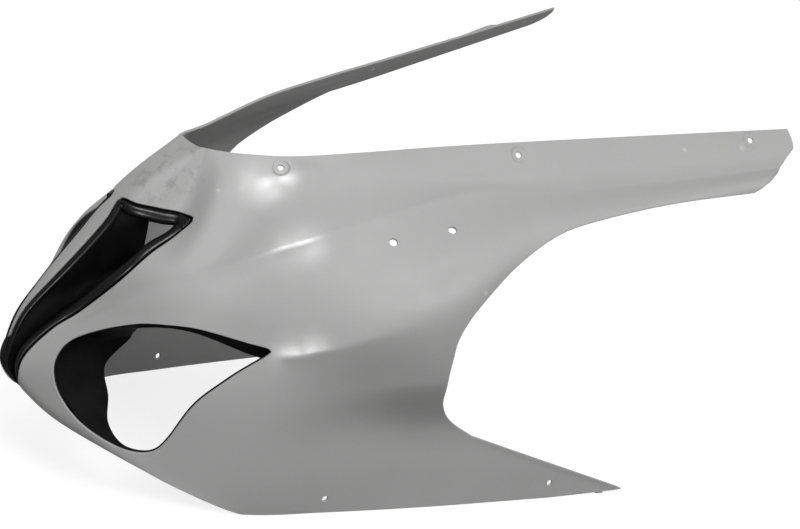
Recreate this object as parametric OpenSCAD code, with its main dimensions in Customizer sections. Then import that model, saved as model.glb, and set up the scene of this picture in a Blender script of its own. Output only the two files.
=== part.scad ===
/* [Cowl] */
// Length from the nose to the tips of the rear arms
cowl_length = 798; // [700:1:900]
// Width across the lower corners of the rear arms
cowl_width = 524; // [440:1:600]
// Height from the lower edges to the tips of the rear arms
cowl_height = 435; // [380:1:500]
// Thickness of the moulded wall
wall = 3; // [2:0.25:4]

/* [Openings] */
// Draw direction of the lamp openings, turned from sideways to straight ahead
lamp_draw = 40; // [30:1:50]
// Draw direction of the intake openings, tilted up from straight ahead
intake_draw = 10; // [0:1:20]

/* [Fixing holes] */
// Bore of the holes along the windscreen edge
screen_bore = 7; // [5:0.5:9]
// Bore of the two holes for each mirror foot
mirror_bore = 9; // [7:0.5:11]
// Bore of the holes near the lower edge
lower_bore = 7; // [5:0.5:9]
// Diameter of the sunk seat round a windscreen hole
seat_d = 18; // [14:1:22]
// Depth of the sunk seats
seat_depth = 0.8; // [0.4:0.1:1.2]

/* [Intake ducts] */
// Wall of the ducts
duct_wall = 2.4; // [1.6:0.1:3]
// Width of the hidden flange behind the cowl
duct_lap = 7; // [4:0.5:8]
// Clearance between the cowl and what is fitted behind it
fit_gap = 1; // [0.8:0.1:1.5]
// Width of the rounded band round the mouth
band_w = 9; // [6:0.5:11]
// Least depth of the funnel behind its mouth
throat_depth = 24; // [20:1:34]
// Length of the spigot behind the funnel
spigot = 10; // [6:1:14]

/* [Lamp surrounds] */
// Wall of the lamp surrounds
surround_wall = 2; // [1.6:0.1:3]
// Width of the flange behind the cowl
surround_lap = 7; // [5:0.5:8]

/* [Hidden] */
$fn = 48;

// The shell is one smooth sheet. Nine lines run back from the middle of the nose, named from the
// windscreen edge down to the lower edge, and each has a point at every station in u_knots.
u_knots = [0, 12, 60, 105, 165, 235, 325, 425, 550, 680];
v_knots = [0, 55, 130, 185, 250, 300, 350, 385, 420];
drawn_size = [798, 524, 435];

screen_edge = [
    [227, 0, 344], [228, 11, 345], [222, 24, 346], [206, 33, 346], [182, 45, 347],
    [147, 63, 351], [85, 87, 363], [0, 109, 377], [-125, 140, 395], [-400, 213, 434]];
brow_line = [
    [284, 0, 307], [283, 12, 306], [252, 42, 285], [236, 67, 291], [202, 77, 302],
    [156, 89, 321], [81, 108, 340], [-12, 128, 358], [-134, 160, 376], [-396, 225, 419]];
shoulder_line = [
    [338, 0, 240], [336, 11, 239], [307, 60, 232], [282, 85, 235], [242, 105, 247],
    [184, 126, 274], [89, 143, 309], [-15, 150, 339], [-136, 184, 357], [-373, 239, 401]];
flank_line = [
    [370, 0, 197], [368, 9, 196], [340, 39, 181], [307, 77, 209], [257, 116, 225],
    [190, 149, 233], [98, 189, 263], [1, 206, 299], [-124, 221, 334], [-330, 262, 383]];
lamp_line = [
    [392, 0, 160], [391, 8, 159], [366, 29, 155], [323, 73, 176], [268, 121, 193],
    [192, 161, 183], [109, 212, 214], [29, 238, 243], [-90, 222, 258], [-330, 240, 258]];
bulge_line = [
    [399, 0, 128], [398, 8, 127], [383, 28, 123], [344, 75, 130], [275, 128, 135],
    [195, 166, 130], [103, 198, 153], [20, 230, 168], [-96, 214, 165], [-320, 220, 152]];
valley_line = [
    [396, 0, 107], [395, 9, 106], [379, 36, 96], [341, 80, 85], [276, 127, 75],
    [192, 167, 75], [98, 181, 95], [4, 189, 95], [-108, 193, 82], [-310, 208, 60]];
skirt_line = [
    [387, 0, 93], [386, 10, 92], [369, 45, 79], [330, 90, 62], [266, 132, 42],
    [188, 167, 35], [98, 180, 45], [0, 187, 42], [-110, 194, 36], [-305, 206, 28]];
lower_edge = [
    [374, 0, 81], [374, 10, 80], [356, 52, 66], [313, 100, 48], [248, 142, 21],
    [182, 165, -2], [98, 177, -4], [0, 188, -4], [-110, 196, -2], [-300, 207, 4]];
drawn_lines = [
    screen_edge, brow_line, shoulder_line, flank_line, lamp_line,
    bulge_line, valley_line, skirt_line, lower_edge];

// Side view of what is cut away behind the cowl: the ends of the arms, the open sweep between
// arm and fin, and the tip of the fin
arm_end = [[-391, 460], [-391, 434], [-399, 417], [-369, 400]];
side_sweep = [
    [-316, 379], [-224, 361], [-132, 336], [-85, 318], [-40, 291], [-7, 264], [14, 242],
    [24, 220], [24, 200], [20, 172], [9, 145], [-6, 124], [-30, 101], [-66, 80]];
fin_tip = [[-292, 3], [-330, -20], [-480, -20], [-480, 460]];

// Outlines on the shell in running distance [back from the nose, down from the windscreen]. The
// third value is the width of band there. Round a lamp, the third and fourth values are how far the
// surround reaches back and down.
intake_outline = [
    [6, 78, 1.3], [24, 72, 1.5], [42, 62, 1.6], [60, 55, 1.5], [84, 58, 2], [74, 75, 1.25],
    [64, 98, 1.25], [61, 120, 1.2], [60, 156, 1.1], [58, 200, 0.8], [58, 248, 0.9], [49, 297, 0.9],
    [38, 335, 0.6], [22, 376, 0.4], [11, 425, 0.3], [-2, 425, 0.3], [-2, 350, 0.5], [-1, 300, 0.8],
    [2, 262, 1], [5, 215, 1], [9, 170, 1], [10, 125, 1], [10, 98, 1.1]];
lamp_outline = [
    [79, 270, 68, 0], [92, 254, 44, 2], [120, 246, 6, 4], [150, 248, 4, 4], [182, 249, 6, 9],
    [212, 248, 8, 14], [231, 249, 8, 14], [231, 256, 6, 6], [204, 285, 3, 0], [182, 313, 3, 0],
    [168, 348, 3, 0], [152, 369, 3, 0], [124, 380, 5, 0], [99, 373, 24, 0], [86, 345, 50, 0],
    [80, 305, 56, 0]];

// Holes on the shell, in the same running distances
screen_holes = [[218, 16], [514, 26], [658, 26]];
mirror_holes = [[342, 153], [404, 159]];
lower_holes = [[322, 405], [606, 400]];
tab_at = [645, 416];
tab_width = 16;
tab_drop = 14;

// Cells between stations
u_cells = [1, 4, 4, 4, 4, 4, 4, 4, 4];
v_cells = [3, 6, 4, 4, 3, 3, 2, 3];

function sized(p) = [for (k = [0:2]) p[k] * [cowl_length, cowl_width, cowl_height][k] / drawn_size[k]];
function mirrored(p) = [p.x, -p.y, p.z];
function off_middle(p, y) = [p.x, max(p.y, y), p.z];
function unit(v) = v / norm(v);

// Slope of a line at its knot i, from the parabola through three knots. A mirrored line carries
// on smoothly across the middle.
function slope(p, t, i, is_mirrored) =
    let (last = len(p) - 1)
    i == 0 && is_mirrored ? (p[1] - mirrored(p[1])) / (2 * (t[1] - t[0])) :
    i == 0 ? 2 * (p[1] - p[0]) / (t[1] - t[0]) - slope(p, t, 1, false) :
    i == last ? 2 * (p[last] - p[last - 1]) / (t[last] - t[last - 1]) - slope(p, t, last - 1, false) :
    let (a = t[i] - t[i - 1], b = t[i + 1] - t[i])
    ((p[i] - p[i - 1]) / a * b + (p[i + 1] - p[i]) / b * a) / (a + b);
function slopes(p, t, is_mirrored) = [for (i = [0:len(p) - 1]) slope(p, t, i, is_mirrored)];
function interval(t, x) = max([for (i = [0:len(t) - 2]) x >= t[i] ? i : 0]);
function along(p, m, t, x) =
    let (i = interval(t, x), h = t[i + 1] - t[i], s = (x - t[i]) / h)
    p[i] * (2 * pow(s, 3) - 3 * s * s + 1) + m[i] * h * (pow(s, 3) - 2 * s * s + s)
    + p[i + 1] * (3 * s * s - 2 * pow(s, 3)) + m[i + 1] * h * (pow(s, 3) - s * s);

lines = [for (drawn = drawn_lines) [for (p = drawn) sized(p)]];
line_slopes = [for (p = lines) slopes(p, u_knots, true)];
function column(u) = [for (k = [0:len(lines) - 1]) along(lines[k], line_slopes[k], u_knots, u)];
function point_on(u, v) =
    let (p = column(abs(u)), q = along(p, slopes(p, v_knots, false), v_knots, v))
    u < 0 ? mirrored(q) : q;
function normal_on(u, v) =
    let (e = 1, v0 = max(v - e, 0), v1 = min(v + e, last_v), u1 = min(u + e, last_u))
    unit(cross(point_on(u, v1) - point_on(u, v0), point_on(u1, v) - point_on(u - e, v)));
last_u = u_knots[len(u_knots) - 1];
last_v = v_knots[len(v_knots) - 1];

// Closed curve through a list of points, with n steps between each two
function round_loop(p, n) = [
    for (i = [0:len(p) - 1]) for (k = [0:n - 1])
    let (c = len(p), s = k / n, a = p[(i + c - 1) % c], b = p[i], d = p[(i + 1) % c], e = p[(i + 2) % c])
    0.5 * (2 * b + (d - a) * s + (2 * a - 5 * b + 4 * d - e) * s * s + (3 * b - a - 3 * d + e) * pow(s, 3))];
// Open curve through a list of points
function round_line(p, n) = [
    for (i = [0:len(p) - 2]) for (k = [0:i == len(p) - 2 ? n : n - 1])
    let (s = k / n, a = p[max(i - 1, 0)], b = p[i], d = p[i + 1], e = p[min(i + 2, len(p) - 1)])
    0.5 * (2 * b + (d - a) * s + (2 * a - 5 * b + 4 * d - e) * s * s + (3 * b - a - 3 * d + e) * pow(s, 3))];

// A sheet is a grid of points, rows by columns. A loop sheet closes on itself across the rows.
function row(g, i, loop) = loop ? g[(i + len(g)) % len(g)] : g[min(max(i, 0), len(g) - 1)];
function sheet_normals(g, loop) = [
    for (i = [0:len(g) - 1]) [for (j = [0:len(g[0]) - 1])
    let (j0 = max(j - 1, 0), j1 = min(j + 1, len(g[0]) - 1))
    unit(cross(g[i][j1] - g[i][j0], row(g, i + 1, loop)[j] - row(g, i - 1, loop)[j]))]];
module walled(g, t, loop = false, y_min = -cowl_width) {
    m = sheet_normals(g, loop);
    rows = len(g);
    cols = len(g[0]);
    inner = [for (i = [0:rows - 1]) [for (j = [0:cols - 1]) off_middle(g[i][j] - t * m[i][j], y_min)]];
    n = rows * cols;
    function at(i, j) = (i % rows) * cols + j;
    last = loop ? rows - 1 : rows - 2;
    quads = [for (i = [0:last]) for (j = [0:cols - 2]) [at(i, j), at(i + 1, j), at(i + 1, j + 1), at(i, j + 1)]];
    edges = [
        for (i = [0:last]) [at(i + 1, 0), at(i, 0)],
        for (i = [0:last]) [at(i, cols - 1), at(i + 1, cols - 1)],
        if (!loop) for (j = [0:cols - 2]) [at(0, j), at(0, j + 1)],
        if (!loop) for (j = [0:cols - 2]) [at(rows - 1, j + 1), at(rows - 1, j)]];
    polyhedron(
        points = concat([for (r = g) each r], [for (r = inner) each r]),
        faces = [
            for (q = quads) each q[0] < n / 2
                ? [[q[0], q[1], q[3]], [q[1], q[2], q[3]], [q[0] + n, q[3] + n, q[1] + n], [q[1] + n, q[3] + n, q[2] + n]]
                : [[q[0], q[1], q[2]], [q[0], q[2], q[3]], [q[0] + n, q[2] + n, q[1] + n], [q[0] + n, q[3] + n, q[2] + n]],
            for (e = edges) each [[e[0], e[1], e[1] + n], [e[0], e[1] + n, e[0] + n]]]);
}

function steps(t, cells) = [
    for (i = [0:len(cells) - 1]) for (k = [0:cells[i] - 1]) t[i] + (t[i + 1] - t[i]) * k / cells[i],
    t[len(t) - 1]];
us = steps(u_knots, u_cells);
vs = steps(v_knots, v_cells);
half_sheet = [
    for (u = us) let (p = column(u), m = slopes(p, v_knots, false)) [for (v = vs) along(p, m, v_knots, v)]];
full_sheet = [
    for (i = [len(us) - 1:-1:1]) [for (p = half_sheet[i]) mirrored(p)],
    each half_sheet];

// Stands a child on the shell, with its Z axis straight out of it
module on_shell(at) {
    n = normal_on(at[0], at[1]);
    translate(point_on(at[0], at[1])) rotate([0, acos(n.z), atan2(n.y, n.x)]) children();
}
module both_sides() {
    children();
    mirror([0, 1, 0]) children();
}

// The lower edges are trimmed level, so that the cowl stands on them
module level_cut() {
    translate([0, 0, -cowl_height / 2]) cube([2 * cowl_length, 2 * cowl_width, cowl_height], center = true);
}
// Small tab under each fin, which locates the panel below
module lower_tab() {
    on_shell(tab_at) translate([0, 0, -wall / 2]) cube([tab_drop, tab_width, wall - 0.8], center = true);
}

// Points of an outline in space. Past the lower edge it carries on straight down.
function on_outline(q) = point_on(q[0], min(q[1], last_v)) - [0, 0, 3 * max(q[1] - last_v, 0)];

module rear_cut() {
    outline = concat(arm_end, round_line(side_sweep, 3), fin_tip);
    rotate([90, 0, 0])
        linear_extrude(height = 2 * cowl_width, center = true)
            polygon([for (p = outline) let (q = sized([p.x, 0, p.y])) [q.x, q.z]]);
}
module intake_cut() {
    a = intake_draw;
    rotate([0, -a, 0]) translate([cowl_length / 4, 0, 0]) rotate([90, 0, 90])
        linear_extrude(height = cowl_length / 2)
            polygon([
                for (q = round_loop(intake_outline, 3)) let (p = on_outline(q))
                [p.y, p.z * cos(a) - p.x * sin(a)]]);
}
module lamp_cut() {
    a = lamp_draw;
    rotate([0, 0, -a]) translate([0, cowl_width, 0]) rotate([90, 0, 0])
        linear_extrude(height = 0.7 * cowl_width)
            polygon([
                for (q = round_loop(lamp_outline, 3)) let (p = on_outline(q))
                [p.x * cos(a) - p.y * sin(a), p.z]]);
}
module hole(at, d, seat = 0) {
    on_shell(at) {
        cylinder(d = d, h = 6 * wall, center = true);
        if (seat > 0) translate([0, 0, -seat_depth]) cylinder(d = seat, h = 4 * wall);
    }
}

module cowl_shell() {
    color([0.69, 0.7, 0.7]) difference() {
        union() {
            walled(full_sheet, wall);
            both_sides() lower_tab();
        }
        rear_cut();
        level_cut();
        both_sides() intake_cut();
        both_sides() lamp_cut();
        for (at = screen_holes) both_sides() hole(at, screen_bore, seat_d);
        for (at = mirror_holes) both_sides() hole(at, mirror_bore);
        for (at = lower_holes) both_sides() hole(at, lower_bore);
    }
}

// Frames round an outline: point, place on the shell, running direction away from the opening,
// values of the outline
function frames(outline, n) =
    let (loop = round_loop(outline, n), c = len(loop), p = [for (q = loop) point_on(q[0], q[1])])
    [for (i = [0:c - 1])
        let (u = loop[i][0], v = loop[i][1],
            t = unit(p[(i + 1) % c] - p[(i + c - 1) % c]), d = unit(cross(normal_on(u, v), t)),
            a = point_on(u + 1, v) - p[i], b = point_on(u, v + 1) - p[i],
            det = (a * a) * (b * b) - (a * b) * (a * b))
        [p[i], [u, v], [(d * a) * (b * b) - (d * b) * (a * b), (d * b) * (a * a) - (d * a) * (a * b)] / det,
            loop[i]]];
// Point beside a frame: away from the opening along the shell and below its outer face
function beside(f, away, below) =
    let (q = f[1] + f[2] * away)
    point_on(q[0], q[1]) - below * normal_on(q[0], q[1]);

// The mouth stays on its own side of the middle and above the lower edge
mouth_outline = [for (q = intake_outline) [max(q[0], 1), min(q[1], last_v - 6), q[2]]];
mouth = frames(mouth_outline, 2);
mouth_corner = point_on(72, 70);

// The funnel runs straight back at its top, and its floor rises to an upright throat
throat_x = mouth_corner.x + 0.028 * cowl_length;
throat_knee = mouth_corner.z - 0.09 * cowl_height;
throat_middle = 0.057 * cowl_width;
function throat_point(p) =
    let (drop = max(throat_knee - p.z, 0))
    [min(throat_x, p.x - throat_depth), p.y + throat_middle * drop / throat_knee, p.z + 0.8 * drop];
function duct_ring(f) =
    let (k = f[3][2], inner = off_middle(beside(f, -band_w * k, 6), duct_wall + fit_gap),
        end = throat_point(inner),
        lap = min(duct_lap * min((k - 0.25) / 0.75, 1), max(0.4, f[2][0] < 0 ? f[0].y - 0.8 : duct_lap)))
    [
        off_middle(beside(f, lap, wall + 2 * fit_gap), 0.4),
        off_middle(beside(f, -1.2 * k, wall + fit_gap), 0.7),
        off_middle(beside(f, -1.8 * k, 1.4), 0.8),
        off_middle(beside(f, -0.45 * band_w * k, 0.3), 1.6),
        off_middle(beside(f, -0.8 * band_w * k, 1.6), 2.4),
        for (s = [0:0.25:1]) inner + (end - inner) * s,
        end - [spigot, 0, 0]
    ];
module intake_duct() {
    color([0.05, 0.05, 0.05]) walled([for (f = mouth) duct_ring(f)], duct_wall, true, 0.4);
}
module left_intake_duct() intake_duct();
module right_intake_duct() mirror([0, 1, 0]) intake_duct();

function surround_ring(f) =
    let (edge = beside(f, -0.5, wall + fit_gap + 1.5), deep = edge - [f[3][2], 0, f[3][3]])
    [
        beside(f, surround_lap, wall + fit_gap),
        beside(f, 0.5, wall + fit_gap),
        edge,
        (edge + deep) / 2,
        deep
    ];
module lamp_surround() {
    color([0.1, 0.1, 0.11]) walled([for (f = frames(lamp_outline, 3)) surround_ring(f)], surround_wall, true);
}
module left_lamp_surround() lamp_surround();
module right_lamp_surround() mirror([0, 1, 0]) lamp_surround();

cowl_shell();
left_intake_duct();
right_intake_duct();
left_lamp_surround();
right_lamp_surround();
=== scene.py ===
"""Studio scene for an unpainted motorcycle fairing.

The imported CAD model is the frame. Its moulded skins are replaced by finer ones with rounded rims,
built from the same drawn lines, and every surface gets a procedural material.
"""

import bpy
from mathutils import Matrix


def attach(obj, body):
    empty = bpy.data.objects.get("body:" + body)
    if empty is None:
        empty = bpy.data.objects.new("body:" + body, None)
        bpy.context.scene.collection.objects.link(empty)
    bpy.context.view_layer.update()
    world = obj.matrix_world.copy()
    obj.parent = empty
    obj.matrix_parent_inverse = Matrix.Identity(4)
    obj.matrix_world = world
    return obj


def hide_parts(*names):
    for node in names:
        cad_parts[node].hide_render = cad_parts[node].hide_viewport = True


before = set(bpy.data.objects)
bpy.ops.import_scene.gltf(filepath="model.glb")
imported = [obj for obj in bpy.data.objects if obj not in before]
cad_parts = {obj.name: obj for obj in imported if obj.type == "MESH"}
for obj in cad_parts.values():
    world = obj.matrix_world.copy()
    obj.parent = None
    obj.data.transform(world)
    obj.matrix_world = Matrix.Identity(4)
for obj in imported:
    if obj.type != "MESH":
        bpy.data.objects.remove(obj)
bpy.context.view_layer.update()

import logging
import math
from dataclasses import dataclass
from enum import Enum
from typing import Sequence

import bmesh
import bpy
import numpy as np
from mathutils import Matrix, Vector

logging.basicConfig(level=logging.INFO, format="%(message)s")
LOG = logging.getLogger("fairing")

MM = 0.001
Socket = bpy.types.NodeSocket
Material = bpy.types.Material

# Size of the cowl, its wall, the radius of its rims and the cell of its grid, in mm
COWL_WIDTH = 524
COWL_HEIGHT = 435
WALL = 3.0
RIM = 0.9
CELL = 4.0


class Slot(str, Enum):
    """Material slots of the record."""

    GREY = "grey_plastic"
    GLOSS = "gloss_black_plastic"
    DARK = "dark_plastic"


# Running distances of the knots in mm: back from the nose, and down from the windscreen edge
U_KNOTS = np.array([0, 12, 60, 105, 165, 235, 325, 425, 550, 680], float)
V_KNOTS = np.array([0, 55, 130, 185, 250, 300, 350, 385, 420], float)
LAST_U = float(U_KNOTS[-1])
LAST_V = float(V_KNOTS[-1])

# Nine lines that run back from the middle of the nose, from the windscreen edge down, in mm
LINES = [
    [(227, 0, 344), (228, 11, 345), (222, 24, 346), (206, 33, 346), (182, 45, 347),
     (147, 63, 351), (85, 87, 363), (0, 109, 377), (-125, 140, 395), (-400, 213, 434)],
    [(284, 0, 307), (283, 12, 306), (252, 42, 285), (236, 67, 291), (202, 77, 302),
     (156, 89, 321), (81, 108, 340), (-12, 128, 358), (-134, 160, 376), (-396, 225, 419)],
    [(338, 0, 240), (336, 11, 239), (307, 60, 232), (282, 85, 235), (242, 105, 247),
     (184, 126, 274), (89, 143, 309), (-15, 150, 339), (-136, 184, 357), (-373, 239, 401)],
    [(370, 0, 197), (368, 9, 196), (340, 39, 181), (307, 77, 209), (257, 116, 225),
     (190, 149, 233), (98, 189, 263), (1, 206, 299), (-124, 221, 334), (-330, 262, 383)],
    [(392, 0, 160), (391, 8, 159), (366, 29, 155), (323, 73, 176), (268, 121, 193),
     (192, 161, 183), (109, 212, 214), (29, 238, 243), (-90, 222, 258), (-330, 240, 258)],
    [(399, 0, 128), (398, 8, 127), (383, 28, 123), (344, 75, 130), (275, 128, 135),
     (195, 166, 130), (103, 198, 153), (20, 230, 168), (-96, 214, 165), (-320, 220, 152)],
    [(396, 0, 107), (395, 9, 106), (379, 36, 96), (341, 80, 85), (276, 127, 75),
     (192, 167, 75), (98, 181, 95), (4, 189, 95), (-108, 193, 82), (-310, 208, 60)],
    [(387, 0, 93), (386, 10, 92), (369, 45, 79), (330, 90, 62), (266, 132, 42),
     (188, 167, 35), (98, 180, 45), (0, 187, 42), (-110, 194, 36), (-305, 206, 28)],
    [(374, 0, 81), (374, 10, 80), (356, 52, 66), (313, 100, 48), (248, 142, 21),
     (182, 165, -2), (98, 177, -4), (0, 188, -4), (-110, 196, -2), (-300, 207, 4)],
]

# Side view of the ends of the arms, the sweep between arm and fin, and the tip of the fin
ARM_END = [(-391, 460), (-391, 434), (-399, 417), (-369, 400)]
SIDE_SWEEP = [
    (-316, 379), (-224, 361), (-132, 336), (-85, 318), (-40, 291), (-7, 264), (14, 242),
    (24, 220), (24, 200), (20, 172), (9, 145), (-6, 124), (-30, 101), (-66, 80)]
FIN_TIP = [(-292, 3), (-330, -20), (-480, -20), (-480, 460)]

# Straight cut across the end of each arm: distance back from the nose, distance down
ARM_CUT = np.array([
    (675.5, -10), (677.5, 47), (678, 62), (676.5, 94), (676, 127), (677.5, 171.5), (675.5, 180.5),
    (672.5, 186), (664.5, 189), (720, 189), (720, -10)], float)

# Outlines on the shell: distance back from the nose, distance down, width or depth there
INTAKE = [
    (6, 78, 1.3), (24, 72, 1.5), (42, 62, 1.6), (60, 55, 1.5), (84, 58, 2), (74, 75, 1.25),
    (64, 98, 1.25), (61, 120, 1.2), (60, 156, 1.1), (58, 200, 0.8), (58, 248, 0.9), (49, 297, 0.9),
    (38, 335, 0.6), (22, 376, 0.4), (11, 425, 0.3), (-2, 425, 0.3), (-2, 350, 0.5), (-1, 300, 0.8),
    (2, 262, 1), (5, 215, 1), (9, 170, 1), (10, 125, 1), (10, 98, 1.1)]
LAMP = [
    (79, 270, 68, 0), (92, 254, 44, 2), (120, 246, 6, 4), (150, 248, 4, 4), (182, 249, 6, 9),
    (212, 248, 8, 14), (231, 249, 8, 14), (231, 256, 6, 6), (204, 285, 3, 0), (182, 313, 3, 0),
    (168, 348, 3, 0), (152, 369, 3, 0), (124, 380, 5, 0), (99, 373, 24, 0), (86, 345, 50, 0),
    (80, 305, 56, 0)]


@dataclass(frozen=True)
class Hole:
    """A round hole through the shell.

    Args:
        u: Distance back from the nose, in mm.
        v: Distance down from the windscreen edge, in mm.
        radius: Radius of the bore, in mm.
        seat: Radius of the sunk seat round it, or 0.
    """

    u: float
    v: float
    radius: float
    seat: float = 0.0


HOLES = [
    Hole(218, 16, 3.5, 9.0), Hole(514, 26, 3.5, 9.0), Hole(658, 26, 3.5, 9.0),
    Hole(342, 153, 4.5), Hole(404, 159, 4.5),
    Hole(322, 405, 3.5), Hole(606, 400, 3.5)]
# Section of a sunk seat: distance beyond its radius, share of its depth and lean of the surface there
SEAT_DEPTH = 0.8
SEAT_SECTION = [
    (1.2, 0.0, 0.0), (0.4, 0.0375, 0.12), (-0.5, 0.5, 0.55), (-1.4, 0.95, 0.15), (-2.4, 1.0, 0.0)]
# Distances of the rings round a bore beyond its radius, on the floor of a seat and without one
SEAT_FLOOR = (1.4, 0.4)
BORE_RINGS = (2.0, 0.5)
# How far beyond the seat or the rings the grid gives way to them
PATCH_REACH = 4.0

# Straight cuts of the arms matter beyond this distance from the nose, and openings up to this one
ARM_START = 600
OPENINGS_END = 260

# Grid lines: end and number of the closer ones at the nose, and number of the others on each side
NOSE_END = 12
NOSE_LINES = 4
SIDE_LINES = 168

# The roll below the windscreen edge: height, place, half width and run
ROLL_HEIGHT = 1.7
ROLL_PLACE = 29
ROLL_WIDTH = 19
ROLL_RUN = (120, 195, 235, 330)
# Where the ridge behind the mouth turns down, and how steeply
RIDGE_TURN = 263
RIDGE_SLOPE = 0.09
# The lip along the sweep: height, reach, how far past the edge it starts, its runs along the arm, along
# the fin and up the fin, and the height above which it belongs to the arm
LIP_HEIGHT = 1.1
LIP_REACH = 7.0
LIP_INSET = 20.0
ARM_LIP_RUN = (30, 80, 240, 310)
FIN_LIP_RUN = (60, 110, 900, 1000)
FIN_LIP_RISE = (2, 9, 900, 1000)
ARM_ABOVE = 200

# Angles of a rim's section from the face to the edge, in degrees
RIM_ANGLES = (30, 60, 90)

# Intake duct in mm: its wall, the place of the mouth's outer corner on the sheet, the band round the mouth
# and its lap under the shell, the throat's place behind the corner, the shortest funnel and the spigot
DUCT_WALL = 2.4
MOUTH_CORNER = (72, 70)
BAND = 9.0
LAP = 7
THROAT_BACK = 22.3
SHORTEST_FUNNEL = 24
SPIGOT = 10
# The funnel's floor rises below this knee, and the throat moves towards the middle
KNEE_DROP = 0.09 * COWL_HEIGHT
FLOOR_RISE = 0.8
THROAT_MIDDLE = 0.057 * COWL_WIDTH
# Section of the band: distance into the mouth, depth below the shell's face, least distance from the middle
BAND_SECTION = [(1.2, 4, 0.7), (1.8, 1.4, 0.8), (0.45 * BAND, 0.3, 1.6), (0.8 * BAND, 1.6, 2.4)]

# Lamp surround in mm: its wall, its lap under the shell and how far below the face it lies
SURROUND_WALL = 2.0
SURROUND_LAP = 7
SURROUND_BELOW = 4
# Least Y of the duct's inner skin, and of one that may lie anywhere
DUCT_LEAST = 0.4
NO_LEAST = -500

# Places and radii in mm of what handling left: smudges on the nose, scratches, and glossier rubbed spots
SMUDGES = [((263, 19, 318), 52), ((244, 20, 332), 40), ((279, 22, 301), 30)]
SCRATCHES = [
    ((221, 56, 313), 3.5), ((-266, 189, 402), 4.0), ((-331, 207, 410), 4.5), ((0, 234, 268), 4.0)]
RUBBED = [
    ((178, 128, 275), 34), ((160, 132, 283), 36), ((178, 69, 325), 42), ((158, 73, 333), 26),
    ((176, 172, 178), 36), ((158, 183, 188), 34)]

# Lowest and highest tones of the plastics, and the tones of grain, smudges and scratches
GREY_TONES = ((0.351, 0.353, 0.349), (0.369, 0.371, 0.366))
GLOSS_TONES = ((0.003, 0.003, 0.0035), (0.005, 0.005, 0.006))
DARK_TONES = ((0.0025, 0.0025, 0.003), (0.005, 0.005, 0.006))
GRAIN_TONE = (0.27, 0.272, 0.27)
SMUDGE_TONE = (0.10, 0.10, 0.095)
SCRATCH_TONE = (0.72, 0.72, 0.71)

# The camera of the photograph, as fitted to it: azimuth, elevation and roll in degrees, distance and aim
# in metres, focal length and sensor width in mm
CAMERA_ANGLES = (39.0, 19.5, 12.5)
CAMERA_DISTANCE = 2.75
CAMERA_AIM = (-0.073, 0.0, 0.197)
CAMERA_LENS = 112.5
SENSOR_WIDTH = 36.0
FAR_CLIP = 100.0

# Half the side of the floor in metres, its tone, its own glow for the camera, and the light all round
FLOOR_REACH = 30.0
FLOOR_TONE = (0.3, 0.3, 0.3, 1.0)
FLOOR_GLOW = 0.78
WHITE = (1.0, 1.0, 1.0, 1.0)
WORLD_LIGHT = 0.58


def unit(vectors: np.ndarray) -> np.ndarray:
    """Scales vectors to length one.

    Args:
        vectors: Array whose last axis holds the vectors.

    Returns:
        The unit vectors.
    """
    return vectors / np.maximum(np.linalg.norm(vectors, axis=-1, keepdims=True), 1e-9)


def slopes_of(points: np.ndarray, knots: np.ndarray, is_mirrored: bool) -> np.ndarray:
    """Slopes at the knots of smooth lines, from the parabola through three knots.

    Args:
        points: Array of shape (..., knots, 3).
        knots: Positions of the knots.
        is_mirrored: Whether the lines carry on as their mirror image before the first knot.

    Returns:
        Slopes of the same shape as points.
    """
    steps = np.diff(knots)[:, None]
    chords = np.diff(points, axis=-2) / steps
    before = steps[:-1]
    after = steps[1:]
    out = np.empty_like(points)
    out[..., 1:-1, :] = (chords[..., :-1, :] * after + chords[..., 1:, :] * before) / (before + after)
    out[..., -1, :] = 2 * chords[..., -1, :] - out[..., -2, :]
    if is_mirrored:
        mirrored = points[..., 1, :] * np.array([1.0, -1.0, 1.0])
        out[..., 0, :] = (points[..., 1, :] - mirrored) / (2 * steps[0])
    else:
        out[..., 0, :] = 2 * chords[..., 0, :] - out[..., 1, :]
    return out


def weights(knots: np.ndarray, at: np.ndarray) -> tuple[np.ndarray, np.ndarray]:
    """Interval and Hermite weights for each position.

    Args:
        knots: Positions of the knots.
        at: Positions to evaluate.

    Returns:
        The interval numbers, and the four weights of each position.
    """
    index = np.clip(np.searchsorted(knots, at, side="right") - 1, 0, len(knots) - 2)
    width = knots[index + 1] - knots[index]
    share = (at - knots[index]) / width
    table = np.stack([
        2 * share ** 3 - 3 * share ** 2 + 1,
        (share ** 3 - 2 * share ** 2 + share) * width,
        3 * share ** 2 - 2 * share ** 3,
        (share ** 3 - share ** 2) * width], axis=-1)
    return index, table


def blended(
        start: np.ndarray, start_slope: np.ndarray, end: np.ndarray, end_slope: np.ndarray,
        table: np.ndarray) -> np.ndarray:
    """Hermite curve between two knots.

    Args:
        start: Points at the first knot.
        start_slope: Slopes there.
        end: Points at the second knot.
        end_slope: Slopes there.
        table: The four weights of each position.

    Returns:
        The points between.
    """
    return (
        start * table[:, 0, None] + start_slope * table[:, 1, None]
        + end * table[:, 2, None] + end_slope * table[:, 3, None])


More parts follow.
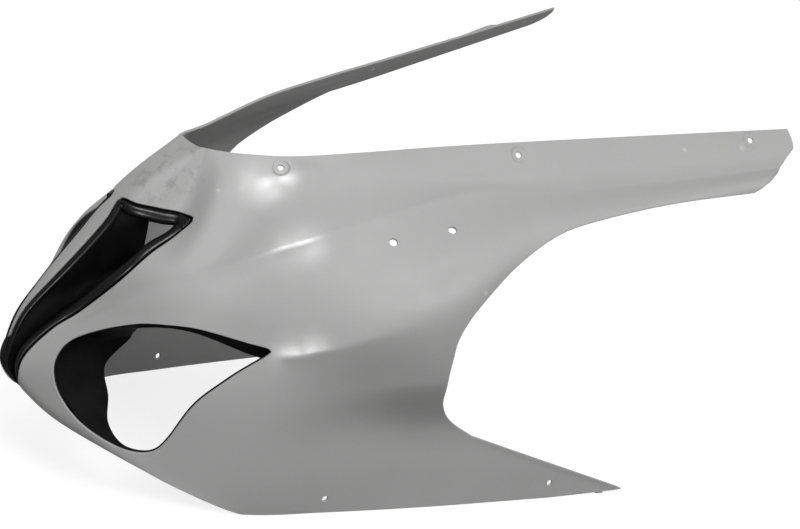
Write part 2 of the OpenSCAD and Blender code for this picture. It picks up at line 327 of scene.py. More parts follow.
class Sheet:
    """The smooth outer face of the cowl, by distance back from the nose and distance down."""

    def __init__(self) -> None:
        self.lines = np.array(LINES, float)
        self.line_slopes = slopes_of(self.lines, U_KNOTS, True)

    def point(self, u: np.ndarray, v: np.ndarray) -> np.ndarray:
        """Points on the outer face.

        Args:
            u: Distances back from the nose; negative on the rider's right.
            v: Distances down from the windscreen edge.

        Returns:
            Array of points in mm.
        """
        u = np.atleast_1d(np.asarray(u, float))
        v = np.atleast_1d(np.asarray(v, float))
        u, v = np.broadcast_arrays(u, v)
        shape = u.shape
        u = u.ravel()
        v = v.ravel()
        knot, table = weights(U_KNOTS, np.abs(u))
        lines, line_slopes = self.lines, self.line_slopes
        columns = blended(
            lines[:, knot], line_slopes[:, knot], lines[:, knot + 1], line_slopes[:, knot + 1], table)
        columns = columns.transpose(1, 0, 2)
        slopes = slopes_of(columns, V_KNOTS, False)
        knot, table = weights(V_KNOTS, v)
        row = np.arange(len(v))
        out = blended(
            columns[row, knot], slopes[row, knot], columns[row, knot + 1], slopes[row, knot + 1], table)
        out[:, 1] = np.where(u < 0, -out[:, 1], out[:, 1])
        return out.reshape(*shape, 3)

    def normal(self, u: np.ndarray, v: np.ndarray) -> np.ndarray:
        """Normals that point out of the cowl.

        Args:
            u: Distances back from the nose.
            v: Distances down from the windscreen edge.

        Returns:
            Array of unit normals.
        """
        down = self.point(u, np.minimum(v + 1, LAST_V)) - self.point(u, np.maximum(v - 1, 0))
        back = self.point(u + 1, v) - self.point(u - 1, v)
        return unit(np.cross(down, back))

    def metric(self, u: np.ndarray, v: np.ndarray, step: float) -> tuple[np.ndarray, ...]:
        """How places change per unit of u and of v.

        Args:
            u: Distances back from the nose.
            v: Distances down.
            step: Step to each side over which it is taken.

        Returns:
            The changes for u and for v, their squares and their product.
        """
        along_u = (self.point(u + step, v) - self.point(u - step, v)) / (2 * step)
        along_v = (self.point(u, v + step) - self.point(u, v - step)) / (2 * step)
        pairs = ((along_u, along_u), (along_v, along_v), (along_u, along_v))
        return along_u, along_v, *((one * other).sum(-1) for one, other in pairs)

    def steps_to(self, u: np.ndarray, v: np.ndarray, direction: np.ndarray) -> np.ndarray:
        """Changes of u and v that move one mm along directions in the tangent plane.

        Args:
            u: Distances back from the nose.
            v: Distances down.
            direction: Unit directions in space.

        Returns:
            Array of (du, dv).
        """
        along_u, along_v, square_u, square_v, mixed = self.metric(u, v, 1)
        part_u = (direction * along_u).sum(-1)
        part_v = (direction * along_v).sum(-1)
        area = square_u * square_v - mixed * mixed
        return np.stack([
            (part_u * square_v - part_v * mixed) / area,
            (part_v * square_u - part_u * mixed) / area], axis=-1)


SHEET = Sheet()


def rounded(points: Sequence, steps: int, is_closed: bool) -> np.ndarray:
    """Smooth curve through points.

    Args:
        points: Points of any dimension.
        steps: Steps between each two points.
        is_closed: Whether the last point leads back to the first.

    Returns:
        Array of points on the curve.
    """
    corners = np.array(points, float)
    count = len(corners)
    last = count - 1
    out = []
    for i in range(count if is_closed else last):
        four = [(i + k) % count if is_closed else min(max(i + k, 0), last) for k in (-1, 0, 1, 2)]
        before, start, end, after = corners[four]
        for k in range(steps + (i == last - 1 and not is_closed)):
            share = k / steps
            out.append(0.5 * (
                2 * start + (end - before) * share
                + (2 * before - 5 * start + 4 * end - after) * share * share
                + (3 * start - before - 3 * end + after) * share ** 3))
    return np.array(out)


def outside(points: np.ndarray, loop: np.ndarray) -> np.ndarray:
    """Signed distance to a closed outline in a plane, positive outside it.

    Args:
        points: Array of points (n, 2).
        loop: Corners of the outline (m, 2).

    Returns:
        Array of n distances.
    """
    best = np.full(len(points), np.inf)
    inside = np.zeros(len(points), bool)
    for a, b in zip(loop, np.roll(loop, -1, axis=0)):
        edge = b - a
        length = max(float(edge @ edge), 1e-12)
        t = np.clip(((points - a) @ edge) / length, 0, 1)
        best = np.minimum(best, np.linalg.norm(points - a - t[:, None] * edge, axis=1))
        if a[1] != b[1]:
            crosses = (a[1] > points[:, 1]) != (b[1] > points[:, 1])
            x = a[0] + (points[:, 1] - a[1]) * edge[0] / edge[1]
            inside ^= crosses & (points[:, 0] < x)
    return np.where(inside, -best, best)


REAR_CUT = np.array(list(ARM_END) + rounded(SIDE_SWEEP, 8, False).tolist() + list(FIN_TIP), float)


class Trim:
    """How far a place on the sheet is from what is cut away."""

    def __init__(self) -> None:
        self.intake = rounded([q[:2] for q in INTAKE], 8, True)
        self.lamp = rounded([q[:2] for q in LAMP], 8, True)

    def raw(self, u: np.ndarray, v: np.ndarray) -> np.ndarray:
        """Distance in each outline's own units, positive where the wall stays.

        Args:
            u: Distances back from the nose.
            v: Distances down.

        Returns:
            Array of distances.
        """
        place = SHEET.point(u, v)
        out = np.minimum(outside(place[:, [0, 2]], REAR_CUT), place[:, 2])
        far = np.abs(u) > ARM_START
        out[far] = np.minimum(out[far], outside(np.stack([np.abs(u[far]), v[far]], axis=1), ARM_CUT))
        near = np.abs(u) < OPENINGS_END
        flat = np.stack([np.abs(u[near]), v[near]], axis=1)
        other = flat * np.array([-1.0, 1.0])
        cut = np.minimum(outside(flat, self.intake), outside(flat, self.lamp))
        cut = np.minimum(cut, outside(other, self.intake))
        out[near] = np.minimum(out[near], cut)
        return out

    def keep(self, u: np.ndarray, v: np.ndarray) -> np.ndarray:
        """Distance along the surface to the inner edge of the rounded rim.

        Args:
            u: Distances back from the nose.
            v: Distances down.

        Returns:
            Array of distances in mm, positive where the face stays.
        """
        step = 0.5
        least_square = 0.04
        level = self.raw(u, v)
        out = level.copy()
        close = np.abs(level) < 3 * CELL
        u, v, level = u[close], v[close], level[close]
        level_u = (self.raw(u + step, v) - self.raw(u - step, v)) / (2 * step)
        level_v = (self.raw(u, v + step) - self.raw(u, v - step)) / (2 * step)
        _, _, square_u, square_v, mixed = SHEET.metric(u, v, step)
        area = np.maximum(square_u * square_v - mixed * mixed, 1e-6)
        square = level_u * level_u * square_v - 2 * level_u * level_v * mixed + level_v * level_v * square_u
        square = square / area
        out[close] = level / np.sqrt(np.maximum(square, least_square)) - RIM
        return out


class MeshData:
    """Vertices with normals, and faces, of a mesh that is being made."""

    def __init__(self) -> None:
        self.points: list = []
        self.normals: list = []
        self.faces: list[list[int]] = []

    def add(self, point: Sequence, normal: Sequence) -> int:
        """Adds a vertex.

        Args:
            point: Place in mm.
            normal: Unit normal.

        Returns:
            Its number.
        """
        self.points.append(tuple(point))
        self.normals.append(tuple(normal))
        return len(self.points) - 1

    def build(self, name: str, material: Material) -> bpy.types.Object:
        """Makes the Blender object.

        Args:
            name: Name of the object.
            material: Its material.

        Returns:
            The object.
        """
        mesh = bpy.data.meshes.new(name)
        mesh.from_pydata([[c * MM for c in p] for p in self.points], [], self.faces)
        mesh.validate(verbose=False)
        mesh.polygons.foreach_set("use_smooth", [True] * len(mesh.polygons))
        mesh.materials.append(material)
        mesh.update()
        mesh.normals_split_custom_set_from_vertices(unit(np.array(self.normals)).tolist())
        piece = bpy.data.objects.new(name, mesh)
        bpy.context.scene.collection.objects.link(piece)
        return piece


@dataclass
class SkinGrid:
    """Grid of the outer face, clipped to its outlines.

    Args:
        places: (u, v) of each vertex.
        sinks: Depth of each vertex below the drawn face.
        leans: Sideways lean of each normal, as (towards u, towards v) in the tangent plane.
        faces: Vertex numbers of each face, seen from outside.
    """

    places: list
    sinks: list
    leans: list
    faces: list


def snap(places: np.ndarray, trim: Trim) -> np.ndarray:
    """Moves the vertices that are close to an edge onto it.

    Args:
        places: (u, v) of each vertex, which are changed.
        trim: What is cut away.

    Returns:
        Distance of each vertex to the edge, positive where the face stays.
    """
    rounds = 4
    reach = 0.35 * CELL
    step = 0.3
    least_square = 0.05
    level = trim.keep(places[:, 0], places[:, 1])
    close = np.abs(level) < reach
    for _ in range(rounds):
        u, v = places[close, 0], places[close, 1]
        here = trim.keep(u, v)
        level_u = (trim.keep(u + step, v) - here) / step
        level_v = (trim.keep(u, v + step) - here) / step
        square = np.maximum(level_u * level_u + level_v * level_v, least_square)
        places[close, 0] -= here * level_u / square
        places[close, 1] -= here * level_v / square
    places[:, 1] = np.clip(places[:, 1], RIM, LAST_V - RIM)
    level[close] = 0.0
    return level


def hole_patches(us: np.ndarray, vs: np.ndarray, index: np.ndarray) -> tuple[list, np.ndarray]:
    """Finds the patches of the grid that the rings round the holes fill.

    Args:
        us: Distances back of the grid's lines.
        vs: Distances down of the grid's lines.
        index: Vertex numbers of the grid.

    Returns:
        Hole, side and vertex numbers round each patch, and which cells the patches take.
    """
    patches = []
    rows, cols = index.shape
    taken = np.zeros((rows - 1, cols - 1), bool)
    for hole in HOLES:
        for side in (1, -1):
            step_back, step_down = plane_steps(side * hole.u, hole.v)
            reach = (hole.seat or hole.radius + BORE_RINGS[0]) + PATCH_REACH
            reach_u, reach_v = reach * np.hypot(step_back, step_down)
            i0 = int(np.searchsorted(us, side * hole.u - reach_u)) - 1
            i1 = int(np.searchsorted(us, side * hole.u + reach_u))
            j0 = max(int(np.searchsorted(vs, hole.v - reach_v)) - 1, 0)
            j1 = min(int(np.searchsorted(vs, hole.v + reach_v)), cols - 1)
            taken[i0:i1, j0:j1] = True
            ring = [index[i, j0] for i in range(i0, i1)]
            ring += [index[i1, j] for j in range(j0, j1)]
            ring += [index[i, j1] for i in range(i1, i0, -1)]
            ring += [index[i0, j] for j in range(j1, j0, -1)]
            patches.append((hole, side, ring))
    return patches, taken


class Crossings:
    """Points where edges of the grid leave the face."""

    def __init__(self, level: np.ndarray) -> None:
        self.level = level
        self.numbers: dict = {}
        self.ends: list = []

    def key(self, a: int, b: int) -> tuple:
        """Names the point where the edge from a to b leaves the face.

        Args:
            a: One end.
            b: The other end.

        Returns:
            A key into numbers.
        """
        name = (min(a, b), max(a, b))
        if name not in self.numbers:
            self.numbers[name] = len(self.numbers)
            self.ends.append((a, b) if self.level[a] > 0 else (b, a))
        return name

    def found(self, places: np.ndarray, trim: Trim) -> np.ndarray:
        """Finds the points by halving.

        Args:
            places: (u, v) of each vertex.
            trim: What is cut away.

        Returns:
            (u, v) of each point.
        """
        halvings = 12
        kept = places[[end[0] for end in self.ends]]
        lost = places[[end[1] for end in self.ends]]
        low = np.zeros(len(self.ends))
        high = np.ones(len(self.ends))
        for _ in range(halvings):
            middle = (low + high) / 2
            at = kept + (lost - kept) * middle[:, None]
            stays = trim.keep(at[:, 0], at[:, 1]) > 0
            low = np.where(stays, middle, low)
            high = np.where(stays, high, middle)
        return kept + (lost - kept) * ((low + high) / 2)[:, None]


def clipped_faces(index: np.ndarray, taken: np.ndarray, crossings: Crossings) -> list:
    """Makes the faces of the grid that stay, whole or cut.

    Args:
        index: Vertex numbers of the grid.
        taken: Cells that the holes' rings fill.
        crossings: Points where edges leave the face.

    Returns:
        Vertex numbers of each face, or keys of crossings.
    """
    level = crossings.level
    faces = []
    for i, j in np.ndindex(*taken.shape):
        if taken[i, j]:
            continue
        quad = [int(index[i, j]), int(index[i, j + 1]), int(index[i + 1, j + 1]), int(index[i + 1, j])]
        values = [level[q] for q in quad]
        if max(values) <= 0:
            continue
        if min(values) >= 0:
            faces.append(quad)
            continue
        face: list = []
        for k in range(4):
            a, b = quad[k], quad[(k + 1) % 4]
            if level[a] >= 0:
                face.append(a)
            if level[a] * level[b] < 0:
                face.append(crossings.key(a, b))
        if len(face) >= 3:
            faces.append(face)
    return faces


def clipped_grid(trim: Trim) -> SkinGrid:
    """Makes the grid of the outer face, with its openings and hole patches.

    Args:
        trim: What is cut away.

    Returns:
        The clipped grid.
    """
    half = np.concatenate([
        np.linspace(0, NOSE_END, NOSE_LINES)[:-1], np.linspace(NOSE_END, LAST_U - RIM, SIDE_LINES)])
    us = np.concatenate([-half[:0:-1], half])
    vs = np.linspace(RIM, LAST_V - RIM, int(LAST_V / CELL) + 1)
    index = np.arange(len(us) * len(vs)).reshape(len(us), len(vs))
    places = np.stack([axis.ravel() for axis in np.meshgrid(us, vs, indexing="ij")], axis=1)
    crossings = Crossings(snap(places, trim))
    patches, taken = hole_patches(us, vs, index)
    faces = clipped_faces(index, taken, crossings)
    extra = crossings.found(places, trim)
    faces = [
        [len(places) + crossings.numbers[q] if isinstance(q, tuple) else q for q in face] for face in faces]
    all_places = places.tolist() + extra.tolist()
    grid = SkinGrid(all_places, [0.0] * len(all_places), [(0.0, 0.0)] * len(all_places), faces)
    for hole, side, ring in patches:
        add_hole(grid, hole, side, ring)
    return grid


def plane_steps(u: float, v: float) -> tuple[np.ndarray, np.ndarray]:
    """Changes of (u, v) for one mm in the shell's own plane.

    Args:
        u: Running distance back.
        v: Running distance down.

    Returns:
        The change for one mm backwards and for one mm downwards.
    """
    uc, vc = np.array([u]), np.array([v])
    n = SHEET.normal(uc, vc)[0]
    back = unit(SHEET.point(uc + 1, vc)[0] - SHEET.point(uc - 1, vc)[0])
    down = np.cross(back, n)
    return SHEET.steps_to(uc, vc, back[None])[0], SHEET.steps_to(uc, vc, down[None])[0]


def wrapped(angle: np.ndarray) -> np.ndarray:
    """Brings angles between minus pi and pi.

    Args:
        angle: The angles.

    Returns:
        The same angles within one turn.
    """
    return (angle + np.pi) % (2 * np.pi) - np.pi


def add_hole(grid: SkinGrid, hole: Hole, side: int, ring: list) -> None:
    """Fills a square patch of the grid with rings round a hole.

    Args:
        grid: The grid to add to.
        hole: The hole.
        side: 1 on the rider's left, -1 on the right.
        ring: Vertex numbers round the patch.
    """
    middle = np.array([side * hole.u, hole.v])
    step_back, step_down = plane_steps(*middle)
    to_plane = np.linalg.inv(np.stack([step_back, step_down], axis=1))
    if hole.seat:
        section = [(hole.seat + beyond, SEAT_DEPTH * share, lean) for beyond, share, lean in SEAT_SECTION]
        section += [(hole.radius + beyond, SEAT_DEPTH, 0.0) for beyond in SEAT_FLOOR]
    else:
        section = [(hole.radius + beyond, 0.0, 0.0) for beyond in BORE_RINGS]
    count = len(ring)
    flat = (np.array([grid.places[k] for k in ring]) - middle) @ to_plane.T
    angle = np.arctan2(flat[:, 1], flat[:, 0])
    even = angle[0] + np.sign(wrapped(np.diff(angle)).sum()) * np.arange(count) * 2 * np.pi / count
    spread = even + wrapped(angle - even).mean()
    last = list(ring)
    for number, (radius, sink, lean) in enumerate(section):
        blend = min(1.0, (number + 1) / 3)
        now = []
        for turn in angle + wrapped(spread - angle) * blend:
            move = radius * (math.cos(turn) * step_back + math.sin(turn) * step_down)
            grid.places.append((middle + move).tolist())
            grid.sinks.append(sink)
            grid.leans.append((-lean * math.cos(turn), -lean * math.sin(turn)))
            now.append(len(grid.places) - 1)
        for k in range(count):
            after = (k + 1) % count
            grid.faces.append([now[k], now[after], last[after], last[k]])
        last = now


def faded(x: np.ndarray, start: float, full: float, still: float, end: float) -> np.ndarray:
    """Strength of a crease along its run: none at both ends and full between.

    Args:
        x: Running distance back.
        start: Where it begins.
        full: Where it is full.
        still: Where it is still full.
        end: Where it ends.

    Returns:
        The strength from 0 to 1.
    """
    rise = np.clip((x - start) / (full - start), 0, 1)
    fall = np.clip((end - x) / (end - still), 0, 1)
    t = np.minimum(rise, fall)
    return t * t * (3 - 2 * t)


@dataclass(frozen=True)
class Crease:
    """A fine ridge that runs along the shell.

    Args:
        place: Running distance of its top, in mm.
        height: Its height, in mm.
        reach: How quickly it falls off to each side, in mm.
        run: Distances along it where it begins, is full, is still full, and ends.
    """

    place: float
    height: float
    reach: float
    run: tuple[float, float, float, float]

    def rise(self, across: np.ndarray, along: np.ndarray) -> np.ndarray:
        """How far it lifts the face.

        Args:
            across: Running distances across it.
            along: Running distances along it.

        Returns:
            Heights in mm.
        """
        top_rounding = 6.0
        off = across - self.place
        slope = np.exp(-np.sqrt(off * off + top_rounding) / self.reach)
        return self.height * slope * faded(along, *self.run)


UPPER_CREASE = Crease(128, 1.9, 12, (60, 170, 400, 540))
MOUTH_RIDGE = Crease(256, 2.0, 9, (228, 258, 300, 370))
LOWER_CREASE = Crease(300, 1.4, 12, (325, 372, 440, 470))
NOSE_STRIP = Crease(11, 0.15, 3, (12, 40, 70, 120))


def relief(u: np.ndarray, v: np.ndarray) -> np.ndarray:
    """Fine relief of the outer face: its creases, the roll below the windscreen edge and the lip.

    Args:
        u: Running distances back.
        v: Running distances down.

    Returns:
        Heights in mm.
    """
    u = np.abs(u)
    creases = (
        UPPER_CREASE.rise(v, u) + MOUTH_RIDGE.rise(v + RIDGE_SLOPE * np.maximum(u - RIDGE_TURN, 0), u)
        + LOWER_CREASE.rise(v, u) + NOSE_STRIP.rise(u, v))
    roll = ROLL_HEIGHT * np.exp(-((v - ROLL_PLACE) / ROLL_WIDTH) ** 2) * faded(u, *ROLL_RUN)
    place = SHEET.point(u, v)
    on_arm = faded(-place[:, 0], *ARM_LIP_RUN)
    on_fin = faded(-place[:, 0], *FIN_LIP_RUN) * faded(place[:, 2], *FIN_LIP_RISE)
    away = outside(place[:, [0, 2]], REAR_CUT) + LIP_INSET
    lip = LIP_HEIGHT * faded(away, 0, 1, LIP_INSET, LIP_INSET + LIP_REACH)
    return creases + roll + lip * np.where(place[:, 2] > ARM_ABOVE, on_arm, on_fin)


def rim_points(
        data: MeshData, point: np.ndarray, normal: np.ndarray, away: np.ndarray, sink: float) -> list:
    """Adds the rounded section of a rim beside a vertex of the outer face.

    Args:
        data: The mesh to add to.
        point: Place of the vertex on the face.
        normal: Normal there.
        away: Unit direction out over the edge.
        sink: Depth of the vertex below the face.

    Returns:
        Numbers of the new vertices, from the outer skin to the inner one.
    """
    chain = []
    for sign, angles in ((1, RIM_ANGLES), (-1, RIM_ANGLES[::-1])):
        for angle in angles:
            out, up = math.sin(math.radians(angle)), math.cos(math.radians(angle))
            drop = RIM * (1 - up)
            depth = sink + drop if sign > 0 else WALL - drop
            chain.append(data.add(point + away * RIM * out - normal * depth, away * out + normal * up * sign))
    return chain


def walled_skin(grid: SkinGrid) -> MeshData:
    """Gives the grid its thickness, with a rounded rim along every edge.

    Args:
        grid: The outer face.

    Returns:
        The closed mesh.
    """
    used = sorted({k for face in grid.faces for k in face})
    total = len(used)
    number = {k: n for n, k in enumerate(used)}
    places, sinks, leans = (
        np.array([values[k] for k in used]) for values in (grid.places, grid.sinks, grid.leans))
    faces = [[number[k] for k in face] for face in grid.faces]
    u, v = places.T
    normal = SHEET.normal(u, v)
    back = unit(SHEET.point(u + 1, v) - SHEET.point(u - 1, v))
    down = np.cross(back, normal)
    rises = []
    for direction in (back, down):
        step = SHEET.steps_to(u, v, direction)
        rises.append((relief(*(places + step).T) - relief(*(places - step).T)) / 2)
    leans = leans - np.stack(rises, axis=1)
    point = SHEET.point(u, v) + normal * relief(u, v)[:, None]
    first = faces[0]
    a, b, c = (point[k] for k in first[:3])
    if float(np.cross(b - a, c - b) @ normal[first[0]]) < 0:
        faces = [face[::-1] for face in faces]

    data = MeshData()
    for k in range(total):
        tilt = normal[k] + leans[k, 0] * back[k] + leans[k, 1] * down[k]
        data.add(point[k] - normal[k] * sinks[k], tilt)
    for k in range(total):
        data.add(point[k] - normal[k] * WALL, -normal[k])
    data.faces = [list(face) for face in faces]
    data.faces += [[k + total for k in face[::-1]] for face in faces]
    edges = set()
    for face in faces:
        edges.update(zip(face, [*face[1:], face[0]]))
    border = [(a, b) for a, b in edges if (b, a) not in edges]
    after = {a: b for a, b in border}
    before = {b: a for a, b in border}
    rims = {}
    for k in after:
        tangent = unit(point[after[k]] - point[before[k]])
        away = unit(np.cross(tangent, normal[k]))
        rims[k] = [k, *rim_points(data, point[k], normal[k], away, sinks[k]), k + total]
    for a, b in border:
        for q in range(len(rims[a]) - 1):
            data.faces.append([rims[b][q], rims[a][q], rims[a][q + 1], rims[b][q + 1]])
    # The rims of the lower edge end level with it
    data.points = [(x, y, max(z, 0.0)) for x, y, z in data.points]
    return data


@dataclass(frozen=True)
class Frame:
    """Place on an opening's outline.

    Args:
        place: (u, v) on the sheet.
        away: Change of (u, v) for one mm away from the opening.
        values: Values of the outline there.
    """

    place: np.ndarray
    away: np.ndarray
    values: np.ndarray

    def beside(self, away: float, below: float) -> np.ndarray:
        """Point beside the outline.

        Args:
            away: Distance away from the opening along the shell.
            below: Distance below the outer face.

        Returns:
            The point in mm.
        """
        u, v = self.place + self.away * away
        return SHEET.point(u, v)[0] - below * SHEET.normal(np.array([u]), np.array([v]))[0]


def frames_of(outline: Sequence, steps: int) -> list[Frame]:
    """Frames round a rounded outline.

    Args:
        outline: Points of the outline.
        steps: Steps between each two.

    Returns:
        The frames in order.
    """
    loop = rounded(outline, steps, True)
    u, v = loop[:, 0], loop[:, 1]
    p = SHEET.point(u, v)
    n = SHEET.normal(u, v)
    tangent = unit(np.roll(p, -1, axis=0) - np.roll(p, 1, axis=0))
    away = SHEET.steps_to(u, v, unit(np.cross(n, tangent)))
    return [Frame(loop[k, :2], away[k], loop[k, 2:]) for k in range(len(loop))]


def lofted(rings: np.ndarray, wall: float, low_y: float, side: int) -> MeshData:
    """Closed thick wall from rings of profile points.

    Args:
        rings: Array (around, along the profile, 3) in mm.
        wall: Thickness.
        low_y: The wall's skins stay at or above this Y.
        side: 1 on the rider's left, -1 for the mirror image.

    Returns:
        The closed mesh.
    """
    around, long = rings.shape[:2]
    along_profile = np.gradient(rings, axis=1)
    round_about = np.roll(rings, -1, axis=0) - np.roll(rings, 1, axis=0)
    n = unit(np.cross(along_profile, round_about))
    inner = rings - wall * n
    inner[..., 1] = np.maximum(inner[..., 1], low_y)
    flip = np.array([1, side, 1])
    data = MeshData()
    for skin, sign in ((rings, 1), (inner, -1)):
        for i in range(around):
            for j in range(long):
                data.add(skin[i, j] * flip, n[i, j] * sign * flip)
    total = around * long
    for i in range(around):
        k = (i + 1) % around
        for j in range(long - 1):
            quad = [i * long + j, i * long + j + 1, k * long + j + 1, k * long + j]
            data.faces.append(quad)
            data.faces.append([q + total for q in quad[::-1]])
        for j, order in ((0, 1), (long - 1, -1)):
            a, b = i * long + j, k * long + j
            edge = [a, b, b + total, a + total]
            data.faces.append(edge[::order])
    if side < 0:
        data.faces = [face[::-1] for face in data.faces]
    return data


def off_middle(point: np.ndarray, y: float) -> np.ndarray:
    """Keeps a point on the rider's left of a plane.

    Args:
        point: The point.
        y: Place of the plane.

    Returns:
        The moved point.
    """
    return np.array([point[0], max(point[1], y), point[2]])


def duct_rings() -> np.ndarray:
    """Profile rings of the left intake duct.

    Returns:
        Array (around, along, 3) in mm.
    """
    outline = [(max(u, 1), min(v, LAST_V - 6), width) for u, v, width in INTAKE]
    corner = SHEET.point(*MOUTH_CORNER)[0]
    knee = corner[2] - KNEE_DROP
    rings = []
    for spot in frames_of(outline, 6):
        width = float(spot.values[0])
        inner = off_middle(spot.beside(-BAND * width, 6), 3.4)
        drop = max(knee - inner[2], 0.0)
        end = np.array([
            min(corner[0] + THROAT_BACK, inner[0] - SHORTEST_FUNNEL),
            inner[1] + THROAT_MIDDLE * drop / knee,
            inner[2] + FLOOR_RISE * drop])
        room = spot.beside(0, 0)[1] - 0.8 if spot.away[0] < 0 else LAP
        lap = min(LAP * min((width - 0.25) / 0.75, 1), max(0.4, room))
        profile = [off_middle(spot.beside(lap, 5), DUCT_LEAST)]
        for into, below, least in BAND_SECTION:
            profile.append(off_middle(spot.beside(-into * width, below), least))
        for share in (0, 0.25, 0.5, 0.75, 1):
            profile.append(inner + (end - inner) * share)
        profile.append(end - np.array([SPIGOT, 0, 0]))
        rings.append(rounded(profile, 4, False))
    return np.array(rings)


def surround_rings() -> np.ndarray:
    """Profile rings of the left lamp surround.

    Returns:
        Array (around, along, 3) in mm.
    """
    rings = []
    for spot in frames_of(LAMP, 6):
        edge = spot.beside(-0.5, SURROUND_BELOW + 1.5)
        deep = edge - np.array([spot.values[0], 0, spot.values[1]])
        lap = [spot.beside(SURROUND_LAP, SURROUND_BELOW), spot.beside(0.5, SURROUND_BELOW)]
        rings.append(rounded([*lap, edge, (edge + deep) / 2, deep], 4, False))
    return np.array(rings)


@dataclass(frozen=True)
class FinTab:
    """Wedge under the end of a fin, which locates the panel below.

    Args:
        middle: Place of its middle on the rider's left, in mm.
        length: Its length along the fin.
        height: Its height, with what is sunk in the fin.
        thickness: Its thickness.
        slant: How far its front edge slants back.
        turn: Its turn about the upright axis, in degrees.
        bevel: Width of its bevelled edges.
    """

    middle: tuple = (-250.0, 202.4, 3.2)
    length: float = 22.0
    height: float = 6.2
    thickness: float = 2.2
    slant: float = 13.0
    turn: float = -3.2
    bevel: float = 0.4

    def build(self, side: int, name: str, material: Material) -> bpy.types.Object:
        """Makes the tab.

        Args:
            side: 1 on the rider's left, -1 for the mirror image.
            name: Name of the object.
            material: Its material.

        Returns:
            The object.
        """
        shape = bmesh.new()
        bmesh.ops.create_cube(shape, size=1.0)
        bmesh.ops.scale(shape, vec=(self.length, self.thickness, self.height), verts=shape.verts)
        front = [p for p in shape.verts if p.co.x > 0 and p.co.z < 0]
        bmesh.ops.translate(shape, vec=(-self.slant, 0, 0), verts=front)
        bmesh.ops.bevel(
            shape, geom=shape.edges, offset=self.bevel, segments=2, profile=0.5, affect="EDGES", material=-1)
        turned = Matrix.Rotation(math.radians(self.turn), 4, "Z")
        mirrored = Matrix.Diagonal((1, side, 1, 1))
        place = Matrix.Scale(MM, 4) @ mirrored @ Matrix.Translation(self.middle) @ turned
        bmesh.ops.transform(shape, matrix=place, verts=shape.verts)
        bmesh.ops.recalc_face_normals(shape, faces=shape.faces)
        mesh = bpy.data.meshes.new(name)
        shape.to_mesh(mesh)
        shape.free()
        mesh.materials.append(material)
        piece = bpy.data.objects.new(name, mesh)
        bpy.context.scene.collection.objects.link(piece)
        return piece


